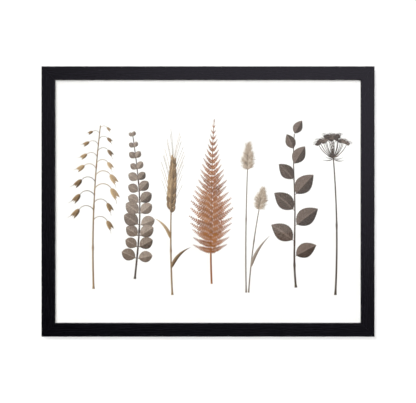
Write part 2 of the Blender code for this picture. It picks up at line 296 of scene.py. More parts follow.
steelLooks = {
    "zinc_plated_steel": {
        "light": "#d3d6d9", "dark": "#bdc1c6", "mottle": 2.2, "smoothest": 0.22, "roughest": 0.46},
    "tumbled_steel": {
        "light": "#b9b9b8", "dark": "#8d8c8a", "mottle": 0.8, "smoothest": 0.30, "roughest": 0.54},
}
scratchLook = {
    "width": 0.12, "stretch": 0.04, "depth": 0.01, "strength": 0.25,
    "share": 0.5,  # what they add to the roughness, beside the mottle
}


def steel(name):
    # Cold rolled steel, stamped or turned, then plated or tumbled: cool grey, softly mottled
    look = steelLooks[name]
    made, tree, place = patternedMaterial(name)
    mottle = addNode(tree, "ShaderNodeTexNoise", {
        "Vector": place, "Scale": 1 / (look["mottle"] * mm), "Detail": 4.0, "Roughness": 0.65})
    drawn = addNode(tree, "ShaderNodeMapping", {
        "Vector": place, "Rotation": (0, 0.5, 0), "Scale": (1, 1, scratchLook["stretch"])})
    scratches = addNode(tree, "ShaderNodeTexNoise", {
        "Vector": drawn, "Scale": 1 / (scratchLook["width"] * mm), "Detail": 2.0})
    colour = addNode(tree, "ShaderNodeValToRGB", {"Fac": mottle})
    setStops(colour, {0.35: look["dark"], 0.6: look["light"]})
    wear = addNode(tree, "ShaderNodeMath", {
        0: scratches, 1: scratchLook["share"], 2: mottle}, operation="MULTIPLY_ADD")
    rough = addNode(tree, "ShaderNodeMapRange", {
        "Value": wear, "From Min": 0.4, "From Max": 1.1,
        "To Min": look["smoothest"], "To Max": look["roughest"]})
    relief = addNode(tree, "ShaderNodeBump", {
        "Strength": scratchLook["strength"], "Distance": scratchLook["depth"] * mm, "Height": scratches})
    return finished(made, {"Base Color": colour, "Metallic": 1.0, "Roughness": rough, "Normal": relief})


rubberLook = {"black": "#141414", "dusty": "#2b2a29", "dust": 1.2, "smoothest": 0.6, "roughest": 0.9}


def bumperRubber():
    # Moulded rubber dot: dull black, a little dusty on top
    look = rubberLook
    made, tree, place = patternedMaterial("moulded_rubber")
    dust = addNode(tree, "ShaderNodeTexNoise", {
        "Vector": place, "Scale": 1 / (look["dust"] * mm), "Detail": 6.0})
    colour = addNode(tree, "ShaderNodeValToRGB", {"Fac": dust})
    setStops(colour, {0.4: look["black"], 0.75: look["dusty"]})
    rough = addNode(tree, "ShaderNodeMapRange", {
        "Value": dust, "To Min": look["smoothest"], "To Max": look["roughest"]})
    return finished(made, {"Base Color": colour, "Roughness": rough})


levelRail = blackMoulding("satin_black_obeche_level", "x")
uprightRail = blackMoulding("satin_black_obeche_upright", "z")
zinc = steel("zinc_plated_steel")
bright = steel("tumbled_steel")
finishes = {
    "rail_top": levelRail, "rail_bottom": levelRail,
    "rail_left": uprightRail, "rail_right": uprightRail,
    "glass": pictureGlass(), "print": pulpSheet("cotton_art_paper"),
    "foam_board": pulpSheet("paper_faced_foam_board"), "back_board": hardboard(),
    "turn_button": zinc, "sawtooth_hanger": zinc,
    "button_screw": bright, "hanger_pin": bright, "corner_nail": bright,
    "bumper": bumperRubber(),
}
for name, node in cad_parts.items():
    family = max((key for key in finishes if name.startswith(key)), key=len)
    node.data.materials.clear()
    node.data.materials.append(finishes[family])
print("finishes on", len(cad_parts), "parts")


# Glue in the mitres

glueLook = {
    "gap": 0.3,  # width of the joint, mm
    "squeezed": 0.01,  # what the glue stays short of each side of it
    "sunk": 0.05,  # and of the front
    "inset": 0.15,  # and of the frame's outer and inner edges
    "arris": 0.7, "arrisSteps": 4,
    "land": 14.3,  # just short of the width of the wood beside the rebate
    "lump": 0.6,  # size of its lumps, mm
    "smoothest": 0.26, "roughest": 0.46,
}


def mitreGlue():
    # Wood glue tinted black with the spray that ran into the joint: a hair line in the corner
    look = mouldingLook
    made, tree, place = patternedMaterial("black_stained_wood_glue")
    lumps = addNode(tree, "ShaderNodeTexNoise", {
        "Vector": place, "Scale": 1 / (glueLook["lump"] * mm), "Detail": 4.0})
    colour = addNode(tree, "ShaderNodeValToRGB", {"Fac": lumps})
    setStops(colour, {0.35: look["black"], 0.7: look["blackGrain"]})
    rough = addNode(tree, "ShaderNodeMapRange", {
        "Value": lumps, "To Min": glueLook["smoothest"], "To Max": glueLook["roughest"]})
    return finished(made, {
        "Base Color": colour, "Roughness": rough, "Specular Tint": linear(look["sheenTint"])})


def glueOutline():
    # The joint's outline as (inward, depth), both from the frame's front outer edge
    look = glueLook
    sunk, inset, arris, land = (look[key] * mm for key in ("sunk", "inset", "arris", "land"))
    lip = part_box("glass")[0].y - look["gap"] * mm - frontFace - sunk
    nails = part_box("corner_nail_top_left")[0].y - look["gap"] * mm - frontFace
    face = outerRight - openingRight - inset
    rounded = []
    for step in range(look["arrisSteps"] + 1):
        angle = math.pi / 2 * step / look["arrisSteps"]
        rounded.append((arris * (1 - math.cos(angle)), sunk + arris * (1 - math.sin(angle))))
    outer = [(inset + inward, depth) for inward, depth in rounded]
    inner = [(face - inward, depth) for inward, depth in reversed(rounded)]
    return outer + inner + [(face, lip), (land, lip), (land, nails), (inset, nails)]


def glueLine(name, sideX, sideZ, finish):
    # A thin plate across the corner that fills its joint
    half = (glueLook["gap"] / 2 - glueLook["squeezed"]) * mm / math.sqrt(2)
    bm = bmesh.new()
    rings = []
    for side in (-1, 1):
        ring = []
        for inward, depth in glueOutline():
            x = sideX * (outerRight - inward + side * half)
            z = middle.z + sideZ * (outerTop - middle.z - inward - side * half)
            ring.append(bm.verts.new((x, frontFace + depth, z)))
        bm.faces.new(ring)
        rings.append(ring)
    left, right = rings
    for i in range(len(left)):
        after = (i + 1) % len(left)
        bm.faces.new((left[i], left[after], right[after], right[i]))
    bmesh.ops.recalc_face_normals(bm, faces=bm.faces)
    bmesh.ops.triangulate(bm, faces=bm.faces)
    line = addMesh(name, bm, finish)
    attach(line, "frame")


glue = mitreGlue()
for name, sideX, sideZ in (("top_left", -1, 1), ("top_right", 1, 1),
                           ("bottom_left", -1, -1), ("bottom_right", 1, -1)):
    glueLine("glue_line_" + name, sideX, sideZ, glue)
print("glue in the four mitres")


# The printed design: seven pressed plants on white, each drawn from flat leaves on a line

plainInk = {
    "fold": 0.0, "round": 0.3, "domed": 0.1, "veins": 6, "veinTone": 0.0, "ribTone": 0.0,
    "edgeTone": -0.12, "mottle": 0.12, "mottleSize": 2.5, "level": 0.45, "roughness": 0.82,
    "foldWidth": 0.15, "veinSlant": -0.16, "veinFrom": 0.55,
    "ribFrom": 0.05, "ribTo": 0.16, "edgeFrom": 0.7,
    "light": (-0.8, 0, 0.6),  # where the drawn light comes from
}
palettes = {
    "straw": {"deep": "#4d3d2e", "mid": "#8f7556", "pale": "#c9b08a"},
    "taupe": {"deep": "#40362f", "mid": "#796a5e", "pale": "#b1a294"},
    "umber": {"deep": "#241d1a", "mid": "#4c3f37", "pale": "#84746a"},
    "rust": {"deep": "#46260f", "mid": "#91562a", "pale": "#c98f58"},
    "stone": {"deep": "#6a5b4d", "mid": "#a39280", "pale": "#dccfbd"},
}
stemInk = {"domed": 0.0, "round": 0.4}
inkLooks = {
    "umber_stems": ("umber", stemInk), "taupe_stems": ("taupe", stemInk),
    "straw_stems": ("straw", stemInk), "rust_stems": ("rust", stemInk),
    "straw_husks": ("straw", {"domed": 0.22, "veins": 1, "ribTone": -0.16, "round": 0.34}),
    "taupe_husks": ("taupe", {"domed": 0.2, "ribTone": 0.14, "round": 0.34}),
    "gum_leaves": ("taupe", {
        "fold": 0.16, "round": 0.14, "veins": 7, "veinTone": 0.1, "ribTone": 0.22, "mottle": 0.2,
        "mottleSize": 4}),
    "fern_leaflets": ("rust", {"fold": 0.14, "round": 0.14, "ribTone": -0.12, "mottle": 0.18}),
    "hornbeam_leaves": ("umber", {
        "fold": 0.2, "round": 0.08, "veins": 11, "veinTone": 0.2, "ribTone": 0.3, "mottle": 0.2,
        "mottleSize": 3, "level": 0.5}),
    "tail_hairs": ("stone", {"domed": 0.3, "round": 0.1, "mottle": 0.22, "mottleSize": 5, "level": 0.5}),
    "umbel_seeds": ("umber", {"domed": 0.2, "round": 0.3, "level": 0.42}),
}


def printedInk(name, look):
    # Pigment ink on cotton paper: flat and matte, its tones drawn as light from the upper left
    # falls on dry leaves, with a fold, side veins, a midrib and a mottle
    made, tree, place = patternedMaterial(name)
    # Places across and along the leaf, from -1 to 1
    uv = addNode(tree, "ShaderNodeSeparateXYZ", {0: addNode(tree, "ShaderNodeUVMap", uv_map="ink")})
    across = addNode(tree, "ShaderNodeMapRange", {"Value": uv, "To Min": -1.0, "To Max": 1.0})
    along = addNode(tree, "ShaderNodeMapRange", {"Value": uv.outputs[1], "To Min": -1.0, "To Max": 1.0})
    # How it faces the drawn light there: by its round back, its dome, its fold and its turn
    fold = addNode(tree, "ShaderNodeMapRange", {
        "Value": across, "From Min": -look["foldWidth"], "From Max": look["foldWidth"],
        "To Min": -look["fold"], "To Max": look["fold"]})
    tilt = addNode(tree, "ShaderNodeMath", {0: across, 1: look["round"], 2: fold}, operation="MULTIPLY_ADD")
    rise = addNode(tree, "ShaderNodeMath", {0: along, 1: look["domed"]}, operation="MULTIPLY")
    lean = addNode(tree, "ShaderNodeAttribute", attribute_name="lean")
    slope = addNode(tree, "ShaderNodeCombineXYZ", {0: tilt, 2: rise})
    facing = addNode(tree, "ShaderNodeVectorRotate", {
        "Vector": slope, "Angle": lean.outputs["Fac"]}, rotation_type="Y_AXIS")
    lit = addNode(tree, "ShaderNodeVectorMath", {0: facing, 1: look["light"]}, operation="DOT_PRODUCT")
    # Side veins that rise from the midrib to the edge, then the midrib, the edge and the mottle
    offset = addNode(tree, "ShaderNodeMath", {0: across}, operation="ABSOLUTE")
    slanted = addNode(tree, "ShaderNodeMath", {
        0: offset, 1: look["veinSlant"], 2: uv.outputs[1]}, operation="MULTIPLY_ADD")
    phase = addNode(tree, "ShaderNodeMath", {
        0: slanted, 1: look["veins"] * 2 * math.pi}, operation="MULTIPLY")
    wave = addNode(tree, "ShaderNodeMath", {0: phase}, operation="SINE")
    vein = addNode(tree, "ShaderNodeMapRange", {
        "Value": wave, "From Min": look["veinFrom"], "From Max": 1.0, "To Max": look["veinTone"]})
    rib = addNode(tree, "ShaderNodeMapRange", {
        "Value": offset, "From Min": look["ribFrom"], "From Max": look["ribTo"],
        "To Min": look["ribTone"], "To Max": 0.0})
    edge = addNode(tree, "ShaderNodeMapRange", {
        "Value": offset, "From Min": look["edgeFrom"], "From Max": 1.0, "To Max": look["edgeTone"]})
    mottle = addNode(tree, "ShaderNodeTexNoise", {
        "Vector": place, "Scale": 1 / (look["mottleSize"] * mm), "Detail": 5.0, "Roughness": 0.65})
    spots = addNode(tree, "ShaderNodeMapRange", {
        "Value": mottle, "From Min": 0.25, "From Max": 0.75,
        "To Min": -look["mottle"], "To Max": look["mottle"]})
    # Added up, with a tone of the leaf's own, they pick the colour
    tone = addNode(tree, "ShaderNodeAttribute", attribute_name="tone")
    total = addNode(tree, "ShaderNodeMath", {0: lit.outputs["Value"], 1: look["level"]}, operation="ADD")
    for part in (tone.outputs["Fac"], vein, rib, edge, spots):
        total = addNode(tree, "ShaderNodeMath", {0: total, 1: part}, operation="ADD")
    colour = addNode(tree, "ShaderNodeValToRGB", {"Fac": total})
    setStops(colour, {0.0: look["deep"], 0.45: look["mid"], 1.0: look["pale"]})
    return finished(made, {"Base Color": colour, "Roughness": look["roughness"]})


inks = {}
for name, (palette, changes) in inkLooks.items():
    inks[name] = printedInk("pigment_ink_" + name, {**plainInk, **palettes[palette], **changes})

inkLayer = {
    "depth": 0.012,  # mm, far thicker than life so that each leaf of ink is a real solid
    "clear": 0.01,  # what it stands off the sheet, mm
}


def flatShape(name, rows, ink, lift=0.0):
    # A thin closed shape from rows of (centre, heading, half width), base to tip
    bm = bmesh.new()
    lean = bm.verts.layers.float.new("lean")
    uv = bm.loops.layers.uv.new("ink")
    sides = []
    for depth in (lift + inkLayer["depth"] * mm, lift):
        grid = []
        for centre, angle, half in rows:
            verts = []
            for across in (-1, 0, 1):
                reach = across * half
                vert = bm.verts.new((centre[0] + reach * math.cos(angle), -depth,
                                     centre[1] - reach * math.sin(angle)))
                vert[lean] = angle
                verts.append(vert)
            grid.append(verts)
        sides.append(grid)
    last = len(rows) - 1

    def face(corners):
        # Each corner is (its side, row, column), so that the map is known too
        made = bm.faces.new([sides[side][row][column] for side, row, column in corners])
        for loop, (_, row, column) in zip(made.loops, corners):
            loop[uv].uv = (column / 2, row / last)

    # The walls, between each point of a cross section and the next, as (side, column)
    ring = [(0, 0), (0, 1), (0, 2), (1, 2), (1, 1), (1, 0)]
    for row in range(last):
        for (side, column), (nextSide, nextColumn) in zip(ring, ring[1:] + ring[:1]):
            face([(side, row, column), (nextSide, row, nextColumn),
                  (nextSide, row + 1, nextColumn), (side, row + 1, column)])
    # The two ends
    for left, right in ((0, 1), (1, 2)):
        face([(1, 0, left), (1, 0, right), (0, 0, right), (0, 0, left)])
        face([(0, last, left), (0, last, right), (1, last, right), (1, last, left)])
    return addMesh(name, bm, inks[ink])


plainStem = {
    "foot": (0, 0), "lean": 0, "sway": 0.0, "steps": 48, "lift": 0.02,
    "knots": 0, "knotSwell": 0.4, "knotSharpness": 24,
}


def growStem(ink, look, side=1):
    # The line up a stem, as (x, z) in metres, and the stem, tapered from its first width to its
    # second. Angles are in degrees from upright, and a branch bends to its side
    look = {**plainStem, **look}
    x, z = look["foot"][0] * mm, look["foot"][1] * mm
    line = []
    rows = []
    for i in range(look["steps"] + 1):
        share = i / look["steps"]
        sway = look["sway"] * math.sin(2 * math.pi * share)
        heading = math.radians(look["lean"] + side * look["bend"] * share + sway)
        width = look["widths"][0] + (look["widths"][1] - look["widths"][0]) * share
        if look["knots"]:
            near = max(0.0, math.cos(2 * math.pi * look["knots"] * share))
            width *= 1 + look["knotSwell"] * near ** look["knotSharpness"]
        line.append((x, z))
        rows.append(((x, z), heading, width * mm / 2))
        x += math.sin(heading) * look["length"] * mm / look["steps"]
        z += math.cos(heading) * look["length"] * mm / look["steps"]
    return line, flatShape("stem", rows, ink, look["lift"] * mm)


plainLeaf = {"stalk": 0.0, "bend": 0.0, "fullness": 1.0, "tip": 0.15, "teeth": 0, "toothDepth": 0.16}


def leafPair(ink, look):
    # The same leaf bending right and left, for the two sides of a stem
    look = {**plainLeaf, **look}
    count, stalk = look["rows"], look["stalk"]
    power = math.log(0.5) / math.log(look["belly"])
    pair = []
    for side in (1, -1):
        x = z = 0.0
        rows = []
        for i in range(count + 1):
            share = i / count
            heading = side * math.radians(look["bend"]) * share
            blade = max(share - stalk, 0.0) / (1 - stalk)
            swell = math.sin(math.pi * min(blade ** power, 1.0)) ** look["fullness"]
            if look["teeth"]:
                swell *= 1 + look["toothDepth"] * ((share * look["teeth"]) % 1.0)
            half = max(swell * look["width"] / 2, look["tip"])
            rows.append(((x, z), heading, half * mm))
            x += math.sin(heading) * look["length"] * mm / count
            z += math.cos(heading) * look["length"] * mm / count
        pair.append(flatShape("leaf", rows, ink))
    return pair


def buildSprigTree():
    # Geometry Nodes: leaves up both sides of a line, turned and sized along it
    tree = bpy.data.node_groups.new("sprig", "GeometryNodeTree")
    wanted = {
        "Line": "Geometry", "Right leaf": "Object", "Left leaf": "Object", "Finish": "Material",
        "Count": 12, "Per place": 1, "First": 0.3, "Last": 1.0, "Crowding": 1.0,
        "Base angle": 45.0, "Tip angle": 20.0, "Angle jitter": 4.0,
        "Base size": 1.0, "Peak": 0.2, "Tip size": 0.4, "Size jitter": 0.1,
        "Tone jitter": 0.3, "Lift": 0.0, "Lift spread": 0.0, "Seed": 0,
    }
    for name, value in wanted.items():
        # A number is an input's first value, and a word is its kind
        kind = {int: "Int", float: "Float"}.get(type(value))
        socket = tree.interface.new_socket(
            name, in_out="INPUT", socket_type="NodeSocket" + (kind or value))
        if kind:
            socket.default_value = value
    tree.interface.new_socket("Leaves", in_out="OUTPUT", socket_type="NodeSocketGeometry")
    given = addNode(tree, "NodeGroupInput").outputs
    index = addNode(tree, "GeometryNodeInputIndex")

    # Each leaf's share of the way up: leaves that leave one place share it
    place = addNode(tree, "ShaderNodeMath", {0: index, 1: given["Per place"]}, operation="DIVIDE")
    place = addNode(tree, "ShaderNodeMath", {0: place}, operation="FLOOR")
    places = addNode(tree, "ShaderNodeMath", {0: given["Count"], 1: given["Per place"]}, operation="DIVIDE")
    last = addNode(tree, "ShaderNodeMath", {0: places, 1: 1.0}, operation="SUBTRACT")
    last = addNode(tree, "ShaderNodeMath", {0: last, 1: 1.0}, operation="MAXIMUM")
    share = addNode(tree, "ShaderNodeMath", {0: place, 1: last}, operation="DIVIDE")
    crowded = addNode(tree, "ShaderNodeMath", {0: share, 1: given["Crowding"]}, operation="POWER")
    factor = addNode(tree, "ShaderNodeMapRange", {
        "Value": crowded, "To Min": given["First"], "To Max": given["Last"]})

    curve = addNode(tree, "GeometryNodeMeshToCurve", {"Mesh": given["Line"]})
    sample = addNode(tree, "GeometryNodeSampleCurve", {"Curves": curve, "Factor": factor}, mode="FACTOR")
    heading = addNode(tree, "ShaderNodeSeparateXYZ", {0: sample.outputs["Tangent"]})
    upright = addNode(tree, "ShaderNodeMath", {0: heading, 1: heading.outputs[2]}, operation="ARCTAN2")

    # +1 on the right and -1 on the left
    odd = addNode(tree, "ShaderNodeMath", {0: index, 1: 2.0}, operation="MODULO")
    side = addNode(tree, "ShaderNodeMath", {0: odd, 1: -2.0, 2: 1.0}, operation="MULTIPLY_ADD")
    spread = addNode(tree, "ShaderNodeMapRange", {
        "Value": share, "To Min": given["Base angle"], "To Max": given["Tip angle"]})
    randoms = []
    for offset in range(4):
        seed = addNode(tree, "ShaderNodeMath", {0: given["Seed"], 1: float(offset * 100)}, operation="ADD")
        randoms.append(addNode(tree, "FunctionNodeRandomValue", {
            2: -1.0, 3: 1.0, "ID": index, "Seed": seed}, data_type="FLOAT").outputs[1])
    spread = addNode(tree, "ShaderNodeMath", {
        0: randoms[0], 1: given["Angle jitter"], 2: spread}, operation="MULTIPLY_ADD")
    spread = addNode(tree, "ShaderNodeMath", {0: spread}, operation="RADIANS")
    turn = addNode(tree, "ShaderNodeMath", {0: spread, 1: side, 2: upright}, operation="MULTIPLY_ADD")

    # Size rises to its peak and falls to the tip
    rising = addNode(tree, "ShaderNodeMapRange", {
        "Value": share, "From Max": given["Peak"], "To Min": given["Base size"], "To Max": 1.0})
    falling = addNode(tree, "ShaderNodeMapRange", {
        "Value": share, "From Min": given["Peak"], "To Min": 1.0, "To Max": given["Tip size"]})
    size = addNode(tree, "ShaderNodeMath", {0: rising, 1: falling}, operation="MINIMUM")
    varied = addNode(tree, "ShaderNodeMath", {
        0: randoms[1], 1: given["Size jitter"], 2: 1.0}, operation="MULTIPLY_ADD")
    size = addNode(tree, "ShaderNodeMath", {0: size, 1: varied}, operation="MULTIPLY")

    lifted = addNode(tree, "ShaderNodeMath", {0: randoms[2], 1: 0.5, 2: 0.5}, operation="MULTIPLY_ADD")
    lifted = addNode(tree, "ShaderNodeMath", {
        0: lifted, 1: given["Lift spread"], 2: given["Lift"]}, operation="MULTIPLY_ADD")
    shift = addNode(tree, "ShaderNodeCombineXYZ", {1: lifted})
    spot = addNode(tree, "ShaderNodeVectorMath", {
        0: sample.outputs["Position"], 1: shift}, operation="SUBTRACT")
    points = addNode(tree, "GeometryNodePoints", {"Count": given["Count"], "Position": spot})
    angle = addNode(tree, "ShaderNodeCombineXYZ", {1: turn})
    scale = addNode(tree, "ShaderNodeCombineXYZ", {0: size, 1: 1.0, 2: size})

    # The turn and tone of each leaf go with it, added to those that it has already
    tone = addNode(tree, "ShaderNodeMath", {0: randoms[3], 1: given["Tone jitter"]}, operation="MULTIPLY")
    for part, value in (("leafTurn", turn), ("leafTone", tone)):
        points = addNode(tree, "GeometryNodeStoreNamedAttribute", {
            "Geometry": points, "Name": part, "Value": value})
    joined = addNode(tree, "GeometryNodeJoinGeometry")
    for leaf, compare in (("Left leaf", "LESS_THAN"), ("Right leaf", "GREATER_THAN")):
        mine = addNode(tree, "FunctionNodeCompare", {0: side, 1: 0.0},
                       data_type="FLOAT", operation=compare)
        shape = addNode(tree, "GeometryNodeObjectInfo", {"Object": given[leaf]})
        placed = addNode(tree, "GeometryNodeInstanceOnPoints", {
            "Points": points, "Selection": mine, "Instance": shape.outputs["Geometry"],
            "Rotation": angle, "Scale": scale})
        tree.links.new(placed.outputs[0], joined.inputs[0])
    mesh = addNode(tree, "GeometryNodeRealizeInstances", {"Geometry": joined})
    for total, part in (("lean", "leafTurn"), ("tone", "leafTone")):
        before = addNode(tree, "GeometryNodeInputNamedAttribute", {"Name": total})
        added = addNode(tree, "GeometryNodeInputNamedAttribute", {"Name": part})
        both = addNode(tree, "ShaderNodeMath", {0: before, 1: added}, operation="ADD")
        mesh = addNode(tree, "GeometryNodeStoreNamedAttribute", {
            "Geometry": mesh, "Name": total, "Value": both})
        mesh = addNode(tree, "GeometryNodeRemoveAttribute", {"Geometry": mesh, "Name": part})
    dressed = addNode(tree, "GeometryNodeSetMaterial", {"Geometry": mesh, "Material": given["Finish"]})
    addNode(tree, "NodeGroupOutput", {0: dressed})
    return tree


sprigTree = buildSprigTree()


def sprig(line, leaves, ink, look):
    # Leaves along a line as one plain mesh, with the look's lifts in mm
    mesh = bpy.data.meshes.new("sprig")
    mesh.from_pydata([(x, 0, z) for x, z in line], [(i, i + 1) for i in range(len(line) - 1)], [])
    obj = addObject("sprig", mesh)
    modifier = obj.modifiers.new("sprig", "NODES")
    modifier.node_group = sprigTree
    values = {"Right leaf": leaves[0], "Left leaf": leaves[1], "Finish": inks[ink], **look}
    for item in sprigTree.interface.items_tree:
        if item.in_out == "INPUT" and item.name in values:
            value = values[item.name]
            if item.socket_type == "NodeSocketFloat":
                value = float(value) * (mm if item.name.startswith("Lift") else 1)
            modifier[item.identifier] = value
    graph = bpy.context.evaluated_depsgraph_get()
    made = bpy.data.meshes.new_from_object(
        obj.evaluated_get(graph), preserve_all_data_layers=True, depsgraph=graph)
    obj.modifiers.clear()
    obj.data = made
    return obj


def together(name, parts, patterns=()):
    # Several meshes as one, without the patterns that they were made from
    for pattern in patterns:
        bpy.data.objects.remove(pattern)
    with bpy.context.temp_override(active_object=parts[0], selected_editable_objects=parts):
        bpy.ops.object.join()
    parts[0].name = parts[0].data.name = name
    return parts[0]


def oatPanicle():
    # Oat: thin branches bow out from the stem, each with three husks and two awns at its end
    look = {
        "stem": {"foot": (-186, -142), "length": 266, "lean": -2, "bend": 9, "widths": (3.0, 1.4),
                 "knots": 4},
        "twig": {"length": 30, "bend": 122, "widths": (1.3, 0.9), "steps": 12, "lift": 0},
        "glume": {"length": 21, "width": 6.4, "belly": 0.36, "rows": 8, "fullness": 0.8},
        "awn": {"length": 25, "width": 0.8, "belly": 0.3, "rows": 5, "bend": 22, "tip": 0.25},
        "branches": 15}
    glumes = leafPair("straw_husks", look["glume"])
    awns = leafPair("straw_stems", look["awn"])
    branches = []
    for side in (1, -1):
        line, twig = growStem("straw_stems", look["twig"], side)
        husks = sprig(line, glumes, "straw_husks", {
            "Count": 3, "First": 0.985, "Base angle": 11, "Tip angle": 3, "Peak": 0.1, "Tip size": 0.8,
            "Lift": 0.02, "Lift spread": 0.02, "Seed": 3})
        bristles = sprig(line, awns, "straw_stems", {
            "Count": 2, "First": 0.99, "Base angle": 6, "Tip angle": 5, "Lift": 0.015, "Seed": 5})
        branches.append(together("oat_branch", [twig, husks, bristles]))
    line, culm = growStem("straw_stems", look["stem"])
    head = sprig(line, branches, "straw_husks", {
        "Count": look["branches"], "First": 0.42, "Last": 0.98, "Crowding": 0.85, "Base angle": 34,
        "Tip angle": 12, "Base size": 0.85, "Peak": 0.3, "Tip size": 0.45, "Lift": 0.05,
        "Lift spread": 0.06, "Seed": 11})
    return together("printed_oat", [culm, head], [*glumes, *awns, *branches])


def gumSprig():
    # Gum: round leaves in pairs, smaller towards the tip of a knotted twig
    look = {
        "stem": {"foot": (-119, -126), "length": 236, "lean": 6, "bend": -14, "widths": (3.2, 1.2),
                 "sway": 2, "knots": 9},
        "leaf": {"length": 29, "width": 21, "belly": 0.5, "rows": 14, "stalk": 0.13, "fullness": 0.62,
                 "bend": 12, "tip": 0.3},
        "leaves": 24}
    leaves = leafPair("gum_leaves", look["leaf"])
    line, twig = growStem("umber_stems", look["stem"])
    head = sprig(line, leaves, "gum_leaves", {
        "Count": look["leaves"], "Per place": 2, "First": 0.14, "Last": 0.985, "Base angle": 62,
        "Tip angle": 30, "Angle jitter": 9, "Base size": 0.9, "Peak": 0.25, "Tip size": 0.3,
        "Size jitter": 0.12, "Tone jitter": 0.14, "Lift": 0.05, "Lift spread": 0.1, "Seed": 21})
    return together("printed_gum_sprig", [twig, head], leaves)


def wheatEar():
    # Bearded wheat: husks up both sides of an ear, long awns behind them, and two leaves
    look = {
        "stem": {"foot": (-58, -152), "length": 216, "lean": -3, "bend": 7, "widths": (3.0, 1.6), "knots": 3},
        "husk": {"length": 18, "width": 7.4, "belly": 0.42, "rows": 8, "fullness": 0.75, "bend": -16},
        "awn": {"length": 62, "width": 0.8, "belly": 0.2, "rows": 8, "bend": 9, "tip": 0.22},
        "blade": {"length": 50, "width": 6, "belly": 0.3, "rows": 20, "bend": 52, "tip": 0.2},
        "ear": {"First": 0.62, "Size jitter": 0.05, "Angle jitter": 2.5}}
    husks = leafPair("straw_husks", look["husk"])
    awns = leafPair("straw_stems", look["awn"])
    blades = leafPair("straw_husks", look["blade"])
    line, culm = growStem("straw_stems", look["stem"])
    beards = sprig(line, awns, "straw_stems", {
        **look["ear"], "Count": 20, "Base angle": 17, "Tip angle": 5, "Base size": 0.8, "Tip size": 0.85,
        "Lift": 0.04, "Lift spread": 0.03, "Seed": 31})
    outer = sprig(line, husks, "straw_husks", {
        **look["ear"], "Count": 20, "Base angle": 34, "Tip angle": 22, "Base size": 0.8, "Peak": 0.3,
        "Tip size": 0.72, "Lift": 0.08, "Lift spread": 0.05, "Tone jitter": 0.2, "Seed": 32})
    inner = sprig(line, husks, "straw_husks", {
        **look["ear"], "Count": 12, "Last": 0.97, "Base angle": 7, "Tip angle": 4, "Base size": 0.7,
        "Tip size": 0.66, "Lift": 0.14, "Lift spread": 0.04, "Tone jitter": 0.24, "Seed": 33})
    leaves = sprig(line, blades, "straw_husks", {
        "Count": 2, "First": 0.2, "Last": 0.42, "Base angle": 20, "Tip angle": 16, "Tip size": 0.8,
        "Lift": 0.05, "Seed": 34})
    return together("printed_wheat", [culm, beards, outer, inner, leaves], [*husks, *awns, *blades])


def fernFrond():
    # Fern: pinnae in pairs, each a thin rib with leaflets in pairs
    look = {
        "stem": {"foot": (6, -134), "length": 268, "lean": -3, "bend": 8, "widths": (3.2, 0.9), "sway": 1.5},
        "rib": {"length": 40, "bend": -16, "widths": (1.0, 0.4), "steps": 10, "lift": 0.01},
        "leaflet": {"length": 8.0, "width": 4.0, "belly": 0.4, "rows": 5, "fullness": 0.6, "bend": 14},
        "leaflets": 24, "pinnae": 46}
    leaflets = leafPair("fern_leaflets", look["leaflet"])
    pinnae = []
    for side in (1, -1):
        line, rib = growStem("rust_stems", look["rib"], side)
        leafy = sprig(line, leaflets, "fern_leaflets", {
            "Count": look["leaflets"], "Per place": 2, "First": 0.05, "Base angle": 70, "Tip angle": 34,
            "Base size": 0.95, "Peak": 0.15, "Tip size": 0.28, "Tone jitter": 0.08, "Seed": 41})
        pinnae.append(together("pinna", [rib, leafy]))
    line, rachis = growStem("rust_stems", look["stem"])
    frond = sprig(line, pinnae, "fern_leaflets", {
        "Count": look["pinnae"], "Per place": 2, "First": 0.2, "Last": 0.985, "Base angle": 76,
        "Tip angle": 34, "Angle jitter": 3, "Base size": 0.7, "Peak": 0.22, "Tip size": 0.07,
        "Size jitter": 0.05, "Tone jitter": 0.12, "Lift": 0.05, "Lift spread": 0.1, "Seed": 42})
    return together("printed_fern", [rachis, frond], [*leaflets, *pinnae])


def hareTails():
    # Hare's tail grass: two soft heads of scales with hairs that stand out of them, and one leaf
    look = {
        "stems": ({"foot": (62, -148), "length": 238, "lean": -1, "bend": 4},
                  {"foot": (66, -148), "length": 168, "lean": 4, "bend": 8}),
        "widths": (2.2, 1.3), "knots": 2,
        "heads": (38, 32), "seeds": (51, 56), "fullHead": 40,
        "hair": {"length": 12, "width": 0.9, "belly": 0.3, "rows": 3, "bend": 8, "tip": 0.1},
        "scale": {"length": 13, "width": 5, "belly": 0.4, "rows": 6},
        "blade": {"length": 56, "width": 4.6, "belly": 0.3, "rows": 18, "bend": 34, "tip": 0.2}}
    hairs = leafPair("tail_hairs", look["hair"])
    scales = leafPair("tail_hairs", look["scale"])
    blades = leafPair("taupe_husks", look["blade"])
    parts = []
    for stalk, length, seed in zip(look["stems"], look["heads"], look["seeds"]):
        line, made = growStem("taupe_stems", {
            **stalk, "widths": look["widths"], "knots": look["knots"]})
        size = length / look["fullHead"]
        head = {"First": 1 - length / stalk["length"], "Peak": 0.3,
                "Base size": 0.8 * size, "Tip size": 0.7 * size}
        core = sprig(line, scales, "tail_hairs", {
            **head, "Count": 70, "Last": 0.98, "Base angle": 34, "Tip angle": 6, "Angle jitter": 8,
            "Tone jitter": 0.14, "Lift": 0.05, "Lift spread": 0.06, "Seed": seed})
        fluff = sprig(line, hairs, "tail_hairs", {
            **head, "Count": 520, "Base angle": 64, "Tip angle": 12, "Angle jitter": 24,
            "Size jitter": 0.25, "Tone jitter": 0.3, "Lift": 0.1, "Lift spread": 0.1, "Seed": seed + 1})
        parts += [made, core, fluff]
    parts.append(sprig(line, blades, "taupe_husks", {
        "Count": 1, "First": 0.24, "Base angle": 12, "Lift": 0.05, "Seed": 59}))
    return together("printed_hare_tails", parts, [*hairs, *scales, *blades])


